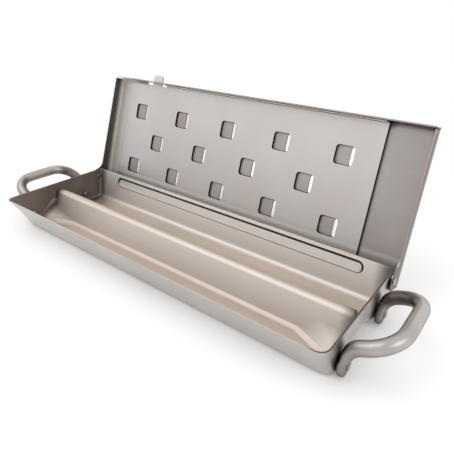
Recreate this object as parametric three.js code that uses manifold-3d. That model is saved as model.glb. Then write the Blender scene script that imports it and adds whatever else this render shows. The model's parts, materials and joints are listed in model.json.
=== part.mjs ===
// Grill smoker box: a pressed steel tray with two channels, a hinged perforated
// lid, a sliding damper under the lid and a cast handle at each end.
// Millimetres, +Z up, front towards -Y. The origin is on the floor under the
// middle of the whole object with its lid open.

import * as THREE from 'three';
import { mergeVertices } from 'three/addons/utils/BufferGeometryUtils.js';
import Module from 'manifold-3d';

const wasm = await Module();
wasm.setup();

// Tray

const TRAY_LENGTH = 380;
const TRAY_WIDTH = 134;
const TRAY_DEPTH = 37;
const TRAY_SHEET = 1.5;
const FRONT_WALL_SLOPE = THREE.MathUtils.degToRad(31);
const BACK_WALL_SLOPE = THREE.MathUtils.degToRad(10);
const END_WALL_SLOPE = THREE.MathUtils.degToRad(3);
const FRONT_BOTTOM_RADIUS = 12;
const BACK_BOTTOM_RADIUS = 7;
const END_BOTTOM_RADIUS = 5;
const FRONT_CORNER_RADIUS = 9;
const BACK_CORNER_RADIUS = 3;
const FRONT_CORNER_GROWTH = 15;
const BACK_CORNER_GROWTH = 2;

// Ridge between the two channels, and the lobes that it leaves at the ends

const RIDGE_DROP = 7;
const RIDGE_CREST_RADIUS = 5.5;
const RIDGE_SIDE_SLOPE = THREE.MathUtils.degToRad(20);
const RIDGE_FOOT_RADIUS = 6;
const RIDGE_END_GAP = 7;
const RIDGE_END_RUN = 4;
const SADDLE_RISE = 19;
const SADDLE_SLOPE = THREE.MathUtils.degToRad(62);
const SADDLE_BOTTOM_RADIUS = 14;
const LOBE_BLEND_LENGTH = 42;
const VALLEY_DEPTH = 2;
const VALLEY_RUN = 11;
const LOBE_OVERLAP = 0.5;
const LOBE_END_WIDTH = 5;

// Bead pressed out of the back wall

const BEAD_LENGTH = 319;
const BEAD_HEIGHT = 11;
const BEAD_DROP = 3.4;
const BEAD_DEPTH = 1.6;
const BEAD_CENTRE_X = 5;

// Hinge

const HINGE_INSET = 7;
const HINGE_DROP = 8.5;
const HINGE_TO_LID = 20.7;
const LID_LEAN = THREE.MathUtils.degToRad(16.2);
const RIVET_SHANK_RADIUS = 1.8;
const RIVET_HEAD_RADIUS = 3.7;
const RIVET_HEAD_HEIGHT = 1.7;
const RIVET_TAIL_RADIUS = 2.9;
const RIVET_TAIL_HEIGHT = 1.3;

// Lid

const LID_SHEET = 1.3;
const LID_END_CLEARANCE = 0.6;
const LID_FRONT_REACH = 130.7;
const LID_REAR_REACH = 8.8;
const LID_FRONT_DEPTH = 13;
const LID_SIDE_REAR_DEPTH = 15;
const LID_BEND_RADIUS = 1.1;
const LID_CORNER_GAP = 0.6;
const LID_CORNER_RELIEF = 2.4;
const EAR_RADIUS = 8;
const EAR_FILLET_RADIUS = 11;
const EAR_REAR_TANGENT = THREE.MathUtils.degToRad(30);
const OPEN_STOP_CLEARANCE = 0.3;

// Smoke holes, five, four and five in three rows

const HOLE_SIZE = 18.5;
const HOLE_CORNER_RADIUS = 3;
const HOLE_COLUMN_PITCH = 66.5;
const HOLE_ROW_PITCH = 34.1;
const HOLE_FIRST_ROW = 24.2;
const HOLES_IN_ROWS = [5, 4, 5];

// Damper, its thumb tab and the notch that the tab moves in

const DAMPER_SHEET = 1.2;
const DAMPER_CLEARANCE = 0.3;
const DAMPER_LEFT_BORDER = 17.6;
const DAMPER_RIGHT_BORDER = 23.5;
const DAMPER_HOLE_SHIFT = 14.5;
const DAMPER_LIP_DEPTH = 7.5;
const DAMPER_BEND_RADIUS = 1.3;
const LIP_LEFT = -113;
const LIP_END_RADIUS = 4;
const TAB_LEFT = -135.9;
const TAB_WIDTH = 14.8;
const TAB_REACH = 8.4;
const TAB_CORNER_RADIUS = 4.5;
const NOTCH_LEFT = -147.3;
const NOTCH_RIGHT = -111.8;
const NOTCH_IN_PLATE = 5.2;
const NOTCH_CORNER_RADIUS = 5;
const DIMPLE_RADIUS = 2.4;
const DIMPLE_DEPTH = 1;
const DIMPLE_COUNT = 3;
const DIMPLE_PITCH = 110;
const DIMPLE_CENTRE_X = 20;

// Handles, each one casting with a round bar that flattens into two lugs

const HANDLE_BAR_RADIUS = 5.7;
const HANDLE_GRIP_REACH = 34;
const HANDLE_GRIP_RISE = 3;
const HANDLE_ARM_SLOPE = THREE.MathUtils.degToRad(24);
const HANDLE_CORNER_RADIUS = 22;
const HANDLE_ELBOW_RADIUS = 14;
const LUG_PLACE_SHARE = 73 / 134;
const HANDLE_GAP = 0.3;
const LUG_WIDTH = 16.5;
const LUG_THICKNESS = 7;
const LUG_FLOOR_CLEARANCE = 1.5;
const LUG_FLATNESS = 3.2;
const LUG_TIP_THICKNESS_SHARE = 0.55;
const LUG_RING_SHARES = [1 / 3, 2 / 3];

// Handle rivets, with a round head inside the tray and a low one on the lug

const HANDLE_RIVET_DEPTH_SHARE = 26 / 37;
const HANDLE_RIVET_SHANK_RADIUS = 2;
const HANDLE_RIVET_HEAD_RADIUS = 3.9;
const HANDLE_RIVET_HEAD_HEIGHT = 2;
const HANDLE_RIVET_TAIL_RADIUS = 3.1;
const HANDLE_RIVET_TAIL_HEIGHT = 0.7;

// Running gaps, cut overruns and how finely round forms are faceted

const FIT_GAP = 0.3;
const OVERRUN = 5;
const ARC_STEPS = 6;
const ROUND_STEPS = 24;
const BAR_SIDES = 24;
const TURN_STEPS = 8;
const SAME_POINT = 0.001;

const HALF_LENGTH = TRAY_LENGTH / 2;
const HALF_WIDTH = TRAY_WIDTH / 2;
const QUARTER_TURN = Math.PI / 2;

// Materials

function steel(color, roughness, metalness) {
  return new THREE.MeshStandardMaterial({ color, roughness, metalness });
}

const trayMaterial = () => steel(0xc3bab2, 0.38, 0.9);
const lidMaterial = () => steel(0xa9a29b, 0.4, 0.9);
const damperMaterial = () => steel(0xbeb9b5, 0.34, 0.9);
const handleMaterial = () => steel(0xb4aea8, 0.3, 0.95);
const fastenerMaterial = () => steel(0xa7a39f, 0.3, 0.95);

// Closed solids and their joins and cuts

// The same geometry with its shared vertices merged and no empty triangles.
function merged(geometry) {
  const bare = geometry.clone();
  bare.deleteAttribute('normal');
  bare.deleteAttribute('uv');
  const whole = mergeVertices(bare);
  const faces = [];
  for (let i = 0; i < whole.index.count; i += 3) {
    const [a, b, c] = whole.index.array.slice(i, i + 3);
    if (a !== b && b !== c && c !== a) faces.push(a, b, c);
  }
  whole.setIndex(faces);
  return whole;
}

// Joins and cuts keep working on the library's own solids. A drawn geometry
// becomes one when it is first used.
function toSolid(shape) {
  if (!shape.isBufferGeometry) return shape;
  const whole = merged(shape);
  return new wasm.Manifold(new wasm.Mesh({
    numProp: 3,
    vertProperties: new Float32Array(whole.attributes.position.array),
    triVerts: new Uint32Array(whole.index.array),
  }));
}

function toGeometry(shape) {
  if (shape.isBufferGeometry) return shape;
  const mesh = shape.getMesh();
  const geometry = new THREE.BufferGeometry();
  geometry.setAttribute('position', new THREE.BufferAttribute(mesh.vertProperties, 3));
  geometry.setIndex(new THREE.BufferAttribute(mesh.triVerts, 1));
  geometry.computeVertexNormals();
  return geometry;
}

function join(...shapes) {
  return shapes.map(toSolid).reduce((all, next) => all.add(next));
}

function cut(body, ...tools) {
  return tools.map(toSolid).reduce((left, tool) => left.subtract(tool), toSolid(body));
}

function common(shape, other) {
  return toSolid(shape).intersect(toSolid(other));
}

// A closed solid through rings of points that all have the same number of
// points, with a cap over its first ring and its last.
function skinThrough(rings, cap) {
  const count = rings[0].length;
  const positions = rings.flat().flatMap((point) => [point.x, point.y, point.z]);
  const faces = [];
  for (let ring = 0; ring < rings.length - 1; ring++) {
    for (let i = 0; i < count; i++) {
      const a = ring * count + i;
      const b = ring * count + (i + 1) % count;
      faces.push(a, b, b + count, a, b + count, a + count);
    }
  }
  const last = (rings.length - 1) * count;
  for (const [a, b, c] of cap(rings[0])) faces.push(c, b, a);
  for (const [a, b, c] of cap(rings.at(-1))) faces.push(last + a, last + b, last + c);
  const geometry = new THREE.BufferGeometry();
  geometry.setAttribute('position', new THREE.Float32BufferAttribute(positions, 3));
  geometry.setIndex(faces);
  return geometry;
}

// Level outlines run anticlockwise seen from above, the lowest outline first.
function loft(outlines) {
  return skinThrough(outlines, (ring) => THREE.ShapeUtils.triangulateShape(ring, []));
}

// A bar's rings are convex and may face any way.
function sweep(rings) {
  return skinThrough(rings, (ring) => ring.slice(2).map((_, i) => [0, i + 1, i + 2]));
}

// A prism from a flat outline, drawn in x and y and raised along z.
function prism(shape, height) {
  return new THREE.ExtrudeGeometry(shape, { depth: height, bevelEnabled: false });
}

// The same prism lying along x: the outline's x becomes y and its y becomes z.
function barAlongX(shape, left, right) {
  const geometry = prism(shape, right - left);
  geometry.rotateX(QUARTER_TURN);
  geometry.rotateZ(QUARTER_TURN);
  return geometry.translate(left, 0, 0);
}

// Points along an arc. Angles are measured from the x axis.
function arc(x, y, radius, from, to, steps = ARC_STEPS) {
  return Array.from({ length: steps + 1 }, (_, i) => {
    const angle = from + (to - from) * i / steps;
    return new THREE.Vector2(x + radius * Math.cos(angle), y + radius * Math.sin(angle));
  });
}

// A closed shape through points, leaving out any that repeat the one before.
function outline(points) {
  return new THREE.Shape(points.filter((point, i) => (
    point.distanceTo(points[(i + 1) % points.length]) > SAME_POINT
  )));
}

function roundedRectangle(left, bottom, width, height, radius, steps = ARC_STEPS) {
  const right = left + width;
  const top = bottom + height;
  return outline([
    ...arc(left + radius, bottom + radius, radius, 2 * QUARTER_TURN, 3 * QUARTER_TURN, steps),
    ...arc(right - radius, bottom + radius, radius, 3 * QUARTER_TURN, 4 * QUARTER_TURN, steps),
    ...arc(right - radius, top - radius, radius, 0, QUARTER_TURN, steps),
    ...arc(left + radius, top - radius, radius, QUARTER_TURN, 2 * QUARTER_TURN, steps),
  ]);
}

function turned(profile, steps = ROUND_STEPS) {
  return new THREE.LatheGeometry(profile, steps);
}

// How far a sloping wall with a rounded foot has come in at a depth below its
// top. The offset moves the face into the sheet, for the inside of the pan.
function wallInset(depth, wallDepth, slope, radius, offset) {
  const centreDepth = wallDepth - radius;
  const faceRadius = radius - offset;
  const tangentDepth = centreDepth + faceRadius * Math.sin(slope);
  if (depth <= tangentDepth) return depth * Math.tan(slope) + offset / Math.cos(slope);
  const centreInset = (centreDepth + radius * Math.sin(slope)) * Math.tan(slope)
    + radius * Math.cos(slope);
  const fall = Math.min(depth - centreDepth, faceRadius);
  return centreInset - Math.sqrt(faceRadius ** 2 - fall ** 2);
}

const saddleDrop = TRAY_DEPTH - SADDLE_RISE;

// How far a lobe has drawn back from the middle of the tray at a depth, at its
// ends and along the ridge. Above the saddle the two lobes run into each other.
function lobeInset(depth, slope, radius, offset) {
  const below = depth - saddleDrop;
  return Math.max(-LOBE_OVERLAP, wallInset(below, SADDLE_RISE, slope, radius, offset));
}

const ridgeFootWidth = RIDGE_CREST_RADIUS / Math.cos(RIDGE_SIDE_SLOPE)
  + (TRAY_DEPTH - RIDGE_DROP - RIDGE_CREST_RADIUS) * Math.tan(RIDGE_SIDE_SLOPE);
const ridgeLobeSlope = Math.atan2(ridgeFootWidth, SADDLE_RISE);

// One level of the front half of the pan, from the outer wall to the middle.
function lobeOutline(depth, wall, offset) {
  const z = -depth;
  const level = Math.max(depth, 0);
  const y = -HALF_WIDTH + wallInset(level, TRAY_DEPTH, wall.slope, wall.bottomRadius, offset);
  const x = HALF_LENGTH - wallInset(level, TRAY_DEPTH, END_WALL_SLOPE, END_BOTTOM_RADIUS, offset);
  const freeInset = lobeInset(level, SADDLE_SLOPE, SADDLE_BOTTOM_RADIUS, offset);
  const endInset = Math.min(freeInset, -LOBE_END_WIDTH - y);
  const ridgeInset = lobeInset(level, ridgeLobeSlope, RIDGE_FOOT_RADIUS, offset);
  const endWidth = -endInset - y;
  const freeCorner = wall.cornerRadius + wall.cornerGrowth * level / TRAY_DEPTH - offset;
  const corner = Math.min(freeCorner, endWidth / 2);
  const run = Math.min(VALLEY_RUN, (endWidth - corner) / 2);
  const valley = VALLEY_DEPTH * Math.min(level / saddleDrop, 1) * run / VALLEY_RUN;
  const points = [];
  for (const side of [-1, 1]) {
    for (let i = 0; i <= ARC_STEPS; i++) {
      const angle = QUARTER_TURN * (side < 0 ? 1 - i / ARC_STEPS : i / ARC_STEPS);
      points.push(new THREE.Vector3(
        side * (x - corner + corner * Math.sin(angle)),
        y + corner - corner * Math.cos(angle),
        z,
      ));
    }
  }
  points.push(new THREE.Vector3(x, -endInset - run, z));
  points.push(new THREE.Vector3(x - valley, -endInset, z));
  points.push(new THREE.Vector3(x - LOBE_BLEND_LENGTH, -ridgeInset, z));
  points.push(new THREE.Vector3(-x + LOBE_BLEND_LENGTH, -ridgeInset, z));
  points.push(new THREE.Vector3(-x + valley, -endInset, z));
  points.push(new THREE.Vector3(-x, -endInset - run, z));
  return points;
}

const frontWall = {
  slope: FRONT_WALL_SLOPE,
  bottomRadius: FRONT_BOTTOM_RADIUS,
  cornerRadius: FRONT_CORNER_RADIUS,
  cornerGrowth: FRONT_CORNER_GROWTH,
};
const backWall = {
  slope: BACK_WALL_SLOPE,
  bottomRadius: BACK_BOTTOM_RADIUS,
  cornerRadius: BACK_CORNER_RADIUS,
  cornerGrowth: BACK_CORNER_GROWTH,
};

// One channel's body, as an outer skin or, with an offset, as the space inside.
// Both channels are drawn at the same levels, which lie close together where
// the front wall rounds into the floor.
function lobe(wall, offset) {
  const top = offset > 0 ? -OVERRUN : 0;
  const radius = FRONT_BOTTOM_RADIUS - offset;
  const centreDepth = TRAY_DEPTH - FRONT_BOTTOM_RADIUS;
  const depths = [top];
  if (top < 0) depths.push(0);
  depths.push(saddleDrop - offset / Math.sin(SADDLE_SLOPE));
  for (let i = 0; i <= ARC_STEPS; i++) {
    const angle = FRONT_WALL_SLOPE + (QUARTER_TURN - FRONT_WALL_SLOPE) * i / ARC_STEPS;
    depths.push(centreDepth + radius * Math.sin(angle));
  }
  return loft(depths.reverse().map((depth) => lobeOutline(depth, wall, offset)));
}

// The back half is the same lobe turned to face the other way.
function backLobe(offset) {
  return lobe(backWall, offset).rotateZ(Math.PI);
}

// The ridge's cross-section: a round crest with sides that spread to the floor.
function ridgeLevel(x, crestDepth, offset) {
  const radius = RIDGE_CREST_RADIUS - offset;
  const centreDepth = crestDepth + RIDGE_CREST_RADIUS;
  const floorDepth = TRAY_DEPTH + OVERRUN;
  const footWidth = radius / Math.cos(RIDGE_SIDE_SLOPE)
    + (floorDepth - centreDepth) * Math.tan(RIDGE_SIDE_SLOPE);
  const points = [new THREE.Vector3(-footWidth, -floorDepth, x)];
  for (let i = 0; i <= 2 * ARC_STEPS; i++) {
    const angle = Math.PI - RIDGE_SIDE_SLOPE - (Math.PI - 2 * RIDGE_SIDE_SLOPE) * i / (2 * ARC_STEPS);
    points.push(new THREE.Vector3(
      radius * Math.cos(angle),
      radius * Math.sin(angle) - centreDepth,
      x,
    ));
  }
  points.push(new THREE.Vector3(footWidth, -floorDepth, x));
  return points.reverse();
}

// The ridge runs nearly the whole length, and its ends fall to the saddles.
function ridge(offset) {
  const crestEnd = HALF_LENGTH - RIDGE_END_GAP - offset;
  const saddleEnd = crestEnd + RIDGE_END_RUN;
  const stations = [
    [-saddleEnd, saddleDrop],
    [-crestEnd, RIDGE_DROP],
    [crestEnd, RIDGE_DROP],
    [saddleEnd, saddleDrop],
  ];
  const geometry = loft(stations.map(([x, crestDepth]) => ridgeLevel(x, crestDepth, offset)));
  geometry.rotateX(QUARTER_TURN);
  return geometry.rotateZ(QUARTER_TURN);
}

// The bead lies on the back wall's own plane, which leans in with the wall.
function beadPrism(margin, innerFace, outerFace) {
  const height = BEAD_HEIGHT - 2 * margin;
  const length = BEAD_LENGTH - 2 * margin;
  const shape = roundedRectangle(-length / 2, -height / 2, length, height, height / 2 - FIT_GAP);
  const geometry = prism(shape, outerFace - innerFace);
  geometry.translate(0, 0, innerFace);
  geometry.rotateX(QUARTER_TURN);
  geometry.rotateZ(Math.PI);
  geometry.translate(BEAD_CENTRE_X, 0, -BEAD_DROP - BEAD_HEIGHT / 2);
  geometry.rotateX(-BACK_WALL_SLOPE);
  return geometry.translate(0, HALF_WIDTH, 0);
}

function crossHole(radius, y, z) {
  const hole = new THREE.CylinderGeometry(radius, radius, TRAY_LENGTH + 2 * OVERRUN, ROUND_STEPS);
  return hole.rotateZ(QUARTER_TURN).translate(0, y, z);
}

const hingeY = HALF_WIDTH - HINGE_INSET;
const lugY = HALF_WIDTH * LUG_PLACE_SHARE;
const lugYs = [-lugY, lugY];
const lugBottomDrop = TRAY_DEPTH - LUG_FLOOR_CLEARANCE;
const handleRivetDrop = TRAY_DEPTH * HANDLE_RIVET_DEPTH_SHARE;

// Tray geometry has its rim at z = 0.
function trayGeometry() {
  const skin = cut(join(lobe(frontWall, 0), backLobe(0)), ridge(TRAY_SHEET));
  const room = cut(join(lobe(frontWall, TRAY_SHEET), backLobe(TRAY_SHEET)), ridge(0));
  const pan = cut(skin, room);
  const beaded = join(pan, beadPrism(0, -TRAY_SHEET / 2, BEAD_DEPTH));
  return cut(
    beaded,
    beadPrism(TRAY_SHEET, -TRAY_SHEET - OVERRUN, BEAD_DEPTH - TRAY_SHEET),
    crossHole(RIVET_SHANK_RADIUS + FIT_GAP, hingeY, -HINGE_DROP),
    ...lugYs.map((y) => crossHole(HANDLE_RIVET_SHANK_RADIUS + FIT_GAP, y, -handleRivetDrop)),
  );
}

// Lid geometry is drawn closed, with its origin on the hinge axis.

const lidInnerX = HALF_LENGTH + LID_END_CLEARANCE;
const lidOuterX = lidInnerX + LID_SHEET;
const lidFrontInner = LID_FRONT_REACH - LID_SHEET;
const lidRearInner = LID_REAR_REACH - LID_SHEET;
const plateBottom = HINGE_TO_LID;
const bend = LID_BEND_RADIUS;

// The depth at which the rear flange, with the lid open, meets the back wall.
function rearFlangeDepth() {
  const along = new THREE.Vector2(Math.sin(LID_LEAN), Math.cos(LID_LEAN));
  const inward = new THREE.Vector2(-Math.cos(LID_LEAN), Math.sin(LID_LEAN));
  const wallNormal = new THREE.Vector2(Math.cos(BACK_WALL_SLOPE), -Math.sin(BACK_WALL_SLOPE));
  const fromRim = new THREE.Vector2(-HINGE_INSET, -HINGE_DROP)
    .addScaledVector(along, -lidRearInner)
    .addScaledVector(inward, -HINGE_TO_LID);
  return (OPEN_STOP_CLEARANCE - fromRim.dot(wallNormal)) / inward.dot(wallNormal);
}

// A bent edge: a strip of plate, the bend and the flange that hangs from it,
// drawn with the plate's inner face at y = 0 and the plate's edge at x = 0.
function bentEdge(sheet, radius, depth, overlap) {
  return outline([
    new THREE.Vector2(-overlap, 0),
    ...arc(0, -radius, radius, QUARTER_TURN, 0),
    new THREE.Vector2(radius, -depth),
    new THREE.Vector2(radius + sheet, -depth),
    ...arc(0, -radius, radius + sheet, 0, QUARTER_TURN),
    new THREE.Vector2(-overlap, sheet),
  ]);
}

function holeCentres(row) {
  const count = HOLES_IN_ROWS[row];
  return Array.from({ length: count }, (_, i) => (i - (count - 1) / 2) * HOLE_COLUMN_PITCH);
}

function smokeHoles(shift) {
  return HOLES_IN_ROWS.flatMap((_, row) => {
    const y = -(HOLE_FIRST_ROW + row * HOLE_ROW_PITCH);
    return holeCentres(row).map((x) => roundedRectangle(
      x + shift - HOLE_SIZE / 2,
      y - HOLE_SIZE / 2,
      HOLE_SIZE,
      HOLE_SIZE,
      HOLE_CORNER_RADIUS,
      ARC_STEPS / 2,
    ));
  });
}

// A block with its top edges rounded all round, from the given floor up.
function lidBlock(halfX, front, rear, top, radius, floor) {
  const lengthways = outline([
    new THREE.Vector2(-front, floor),
    new THREE.Vector2(rear, floor),
    ...arc(rear - radius, top - radius, radius, 0, QUARTER_TURN),
    ...arc(radius - front, top - radius, radius, QUARTER_TURN, 2 * QUARTER_TURN),
  ]);
  const crossways = outline([
    new THREE.Vector2(-halfX, floor),
    new THREE.Vector2(halfX, floor),
    ...arc(halfX - radius, top - radius, radius, 0, QUARTER_TURN),
    ...arc(radius - halfX, top - radius, radius, QUARTER_TURN, 2 * QUARTER_TURN),
  ]);
  const across = prism(crossways, front + rear + 2 * OVERRUN).rotateX(QUARTER_TURN);
  across.translate(0, rear + OVERRUN, 0);
  return common(barAlongX(lengthways, -halfX - OVERRUN, halfX + OVERRUN), across);
}

// The lid seen from the side: the flange's edge, and the ear round the rivet.
// The outline's x is the lid's y, and its y is the height over the hinge axis.
function sideOutline() {
  const top = plateBottom + LID_SHEET + OVERRUN;
  const frontEdge = plateBottom - LID_FRONT_DEPTH;
  const rearEdge = plateBottom - LID_SIDE_REAR_DEPTH;
  const filletX = -EAR_RADIUS - EAR_FILLET_RADIUS;
  const earEnd = 4 * QUARTER_TURN - EAR_REAR_TANGENT;
  const rise = (LID_REAR_REACH + OVERRUN) / Math.sin(EAR_REAR_TANGENT);
  return outline([
    new THREE.Vector2(-LID_FRONT_REACH - OVERRUN, top),
    new THREE.Vector2(-LID_FRONT_REACH - OVERRUN, frontEdge),
    new THREE.Vector2(-LID_FRONT_REACH, frontEdge),
    ...arc(filletX, rearEdge - EAR_FILLET_RADIUS, EAR_FILLET_RADIUS, QUARTER_TURN, 0),
    ...arc(0, 0, EAR_RADIUS, 2 * QUARTER_TURN, earEnd, 2 * ARC_STEPS),
    new THREE.Vector2(
      EAR_RADIUS * Math.cos(earEnd) + rise * Math.sin(EAR_REAR_TANGENT),
      EAR_RADIUS * Math.sin(earEnd) + rise * Math.cos(EAR_REAR_TANGENT),
    ),
    new THREE.Vector2(LID_REAR_REACH + OVERRUN + rise, top),
  ]);
}

function lidShell() {
  const floor = -2 * EAR_RADIUS;
  const outside = lidBlock(
    lidOuterX,
    LID_FRONT_REACH,
    LID_REAR_REACH,
    plateBottom + LID_SHEET,
    bend + LID_SHEET,
    floor,
  );
  const inside = lidBlock(lidInnerX, lidFrontInner, lidRearInner, plateBottom, bend, floor - OVERRUN);
  return common(
    cut(outside, inside),
    barAlongX(sideOutline(), -lidOuterX - OVERRUN, lidOuterX + OVERRUN),
  );
}

// A block between its left, front and lower faces and its right, rear and upper ones.
function box(left, front, floor, right, rear, top) {
  const geometry = new THREE.BoxGeometry(right - left, rear - front, top - floor);
  return geometry.translate((left + right) / 2, (front + rear) / 2, (floor + top) / 2);
}

// What is taken off between the ears to leave the rear flange.
function rearTrim() {
  const x = lidInnerX - LID_CORNER_GAP;
  const top = plateBottom - rearFlangeDepth();
  return box(-x, lidRearInner - OVERRUN, -4 * EAR_RADIUS, x, LID_REAR_REACH + OVERRUN, top);
}

// The front corners, where the folded flanges don't meet.
function cornerReliefs() {
  const x = lidOuterX - LID_CORNER_RELIEF;
  const y = LID_CORNER_RELIEF - LID_FRONT_REACH;
  const top = plateBottom - bend;
  return [
    box(x, -LID_FRONT_REACH - OVERRUN, -OVERRUN, lidOuterX + OVERRUN, y, top),
    box(-lidOuterX - OVERRUN, -LID_FRONT_REACH - OVERRUN, -OVERRUN, -x, y, top),
  ];
}

// The notch lets the thumb tab out through the front flange.
function notch() {
  const width = NOTCH_RIGHT - NOTCH_LEFT;
  const depth = NOTCH_IN_PLATE + OVERRUN;
  const shape = roundedRectangle(
    NOTCH_LEFT,
    -LID_FRONT_REACH - OVERRUN,
    width,
    depth,
    NOTCH_CORNER_RADIUS - FIT_GAP,
  );
  const mouth = DAMPER_CLEARANCE + DAMPER_SHEET + 2 * FIT_GAP;
  return prism(shape, mouth + LID_SHEET + OVERRUN).translate(0, 0, plateBottom - mouth);
}

// Dimples pressed into the long flanges catch the damper's lips.
function dimpleXs() {
  return Array.from({ length: DIMPLE_COUNT }, (_, i) => (
    DIMPLE_CENTRE_X + (i - (DIMPLE_COUNT - 1) / 2) * DIMPLE_PITCH
  ));
}

function dimpleBall(x, innerY, radius, facing) {
  const ball = new THREE.SphereGeometry(radius, ROUND_STEPS / 2, ROUND_STEPS / 3);
  ball.rotateX(QUARTER_TURN);
  const dip = DIMPLE_RADIUS - DIMPLE_DEPTH;
  const rimRadius = Math.sqrt(DIMPLE_RADIUS ** 2 - dip ** 2);
  const z = plateBottom - DAMPER_CLEARANCE - DAMPER_LIP_DEPTH - FIT_GAP - rimRadius;
  return ball.translate(x, facing * (innerY + dip), z);
}

// The part of the ball that stands out of the flange's inner face.
function dimpleBump(x, innerY, facing) {
  const keep = new THREE.BoxGeometry(4 * DIMPLE_RADIUS, 2 * OVERRUN, 4 * HINGE_TO_LID);
  keep.translate(x, facing * (innerY + LID_SHEET / 2 - OVERRUN), 0);
  return common(dimpleBall(x, innerY, DIMPLE_RADIUS, facing), keep);
}

function lidGeometry() {
  const body = join(
    cut(lidShell(), rearTrim(), ...cornerReliefs()),
    ...dimpleXs().map((x) => dimpleBump(x, lidFrontInner, -1)),
    ...dimpleXs().map((x) => dimpleBump(x, lidRearInner, 1)),
  );
  const hollow = DIMPLE_RADIUS - LID_SHEET;
  const holes = smokeHoles(0).map((shape) => (
    prism(shape, LID_SHEET + 2 * OVERRUN).translate(0, 0, plateBottom - OVERRUN)
  ));
  return cut(
    body,
    notch(),
    crossHole(RIVET_SHANK_RADIUS + FIT_GAP, 0, 0),
    ...holes,
    ...dimpleXs().map((x) => dimpleBall(x, lidFrontInner, hollow, -1)),
    ...dimpleXs().map((x) => dimpleBall(x, lidRearInner, hollow, 1)),
  );
}

// Damper geometry is drawn in the lid's frame.

const damperTop = plateBottom - DAMPER_CLEARANCE;
const damperBottom = damperTop - DAMPER_SHEET;
const damperFront = lidFrontInner - FIT_GAP;
const damperRear = lidRearInner - FIT_GAP;
const damperBend = DAMPER_BEND_RADIUS;
const longestRow = holeCentres(0);
const damperLeft = longestRow[0] - DAMPER_HOLE_SHIFT - HOLE_SIZE / 2 - DAMPER_LEFT_BORDER;
const damperRight = longestRow.at(-1) - DAMPER_HOLE_SHIFT + HOLE_SIZE / 2 + DAMPER_RIGHT_BORDER;

function damperPlate() {
  const lipInset = DAMPER_SHEET + damperBend;
  const front = damperFront - lipInset;
  const rear = damperRear - lipInset;
  const tabRight = TAB_LEFT + TAB_WIDTH;
  const tabEnd = LID_FRONT_REACH + TAB_REACH;
  const r = TAB_CORNER_RADIUS;
  const shape = outline([
    new THREE.Vector2(damperLeft, rear),
    new THREE.Vector2(damperLeft, -front),
    new THREE.Vector2(TAB_LEFT, -front),
    ...arc(TAB_LEFT + r, r - tabEnd, r, 2 * QUARTER_TURN, 3 * QUARTER_TURN),
    ...arc(tabRight - r, r - tabEnd, r, 3 * QUARTER_TURN, 4 * QUARTER_TURN),
    new THREE.Vector2(tabRight, -front),
    new THREE.Vector2(damperRight, -front),
    new THREE.Vector2(damperRight, rear),
  ]);
  shape.holes = smokeHoles(-DAMPER_HOLE_SHIFT);
  return prism(shape, DAMPER_SHEET).translate(0, 0, damperBottom);
}

// A lip is a bent edge whose free corners are rounded off.
function damperLip(left, facing, inner) {
  const depth = DAMPER_LIP_DEPTH - DAMPER_SHEET;
  const strip = barAlongX(bentEdge(DAMPER_SHEET, damperBend, depth, damperBend), left, damperRight);
  strip.translate(0, inner - DAMPER_SHEET - damperBend, damperBottom);
  const reach = inner + OVERRUN;
  const outline = roundedRectangle(
    left,
    damperTop - DAMPER_LIP_DEPTH,
    damperRight - left,
    DAMPER_LIP_DEPTH + LIP_END_RADIUS + OVERRUN,
    LIP_END_RADIUS,
  );
  const keep = prism(outline, 2 * reach).rotateX(QUARTER_TURN).translate(0, reach, 0);
  const lip = facing > 0 ? strip : mirrorY(strip);
  return common(lip, keep);
}

function mirrorY(geometry) {
  const mirrored = merged(geometry).scale(1, -1, 1);
  const index = mirrored.index.array;
  for (let i = 0; i < index.length; i += 3) [index[i], index[i + 1]] = [index[i + 1], index[i]];
  return mirrored;
}

function damperGeometry() {
  return join(
    damperPlate(),
    damperLip(LIP_LEFT, -1, damperFront),
    damperLip(damperLeft, 1, damperRear),
  );
}

// Handle geometry is drawn for the right end, with x = 0 at the rim's end and
// z = 0 at the rim. Its lugs' backs follow the slope of the end wall.

const lugBackX = (drop) => HANDLE_GAP - drop * Math.tan(END_WALL_SLOPE);
const lugMiddleX = (drop) => lugBackX(drop) + LUG_THICKNESS / 2;

// Ease from 0 to 1 with level ends.
const eased = (share) => share * share * (3 - 2 * share);

// One ring of the handle's skin: a point on the centre line, the way the line
// runs there, half the width and half the thickness, and how square it is.
function handleRing(point, along, halfWidth, halfThickness, flatness) {
  const up = new THREE.Vector3(-Math.sin(along.slope), 0, Math.cos(along.slope));
  const run = new THREE.Vector3(Math.cos(along.slope), 0, Math.sin(along.slope))
    .multiplyScalar(Math.cos(along.turn))
    .add(new THREE.Vector3(0, Math.sin(along.turn), 0));
  const side = new THREE.Vector3().crossVectors(up, run);
  return Array.from({ length: BAR_SIDES }, (_, i) => {
    const angle = 4 * QUARTER_TURN * i / BAR_SIDES;
    const c = Math.cos(angle);
    const s = Math.sin(angle);
    const squash = (Math.abs(c) ** flatness + Math.abs(s) ** flatness) ** (-1 / flatness);
    return point.clone()
      .addScaledVector(side, halfWidth * c * squash)
      .addScaledVector(up, halfThickness * s * squash);
  });
}

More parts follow.
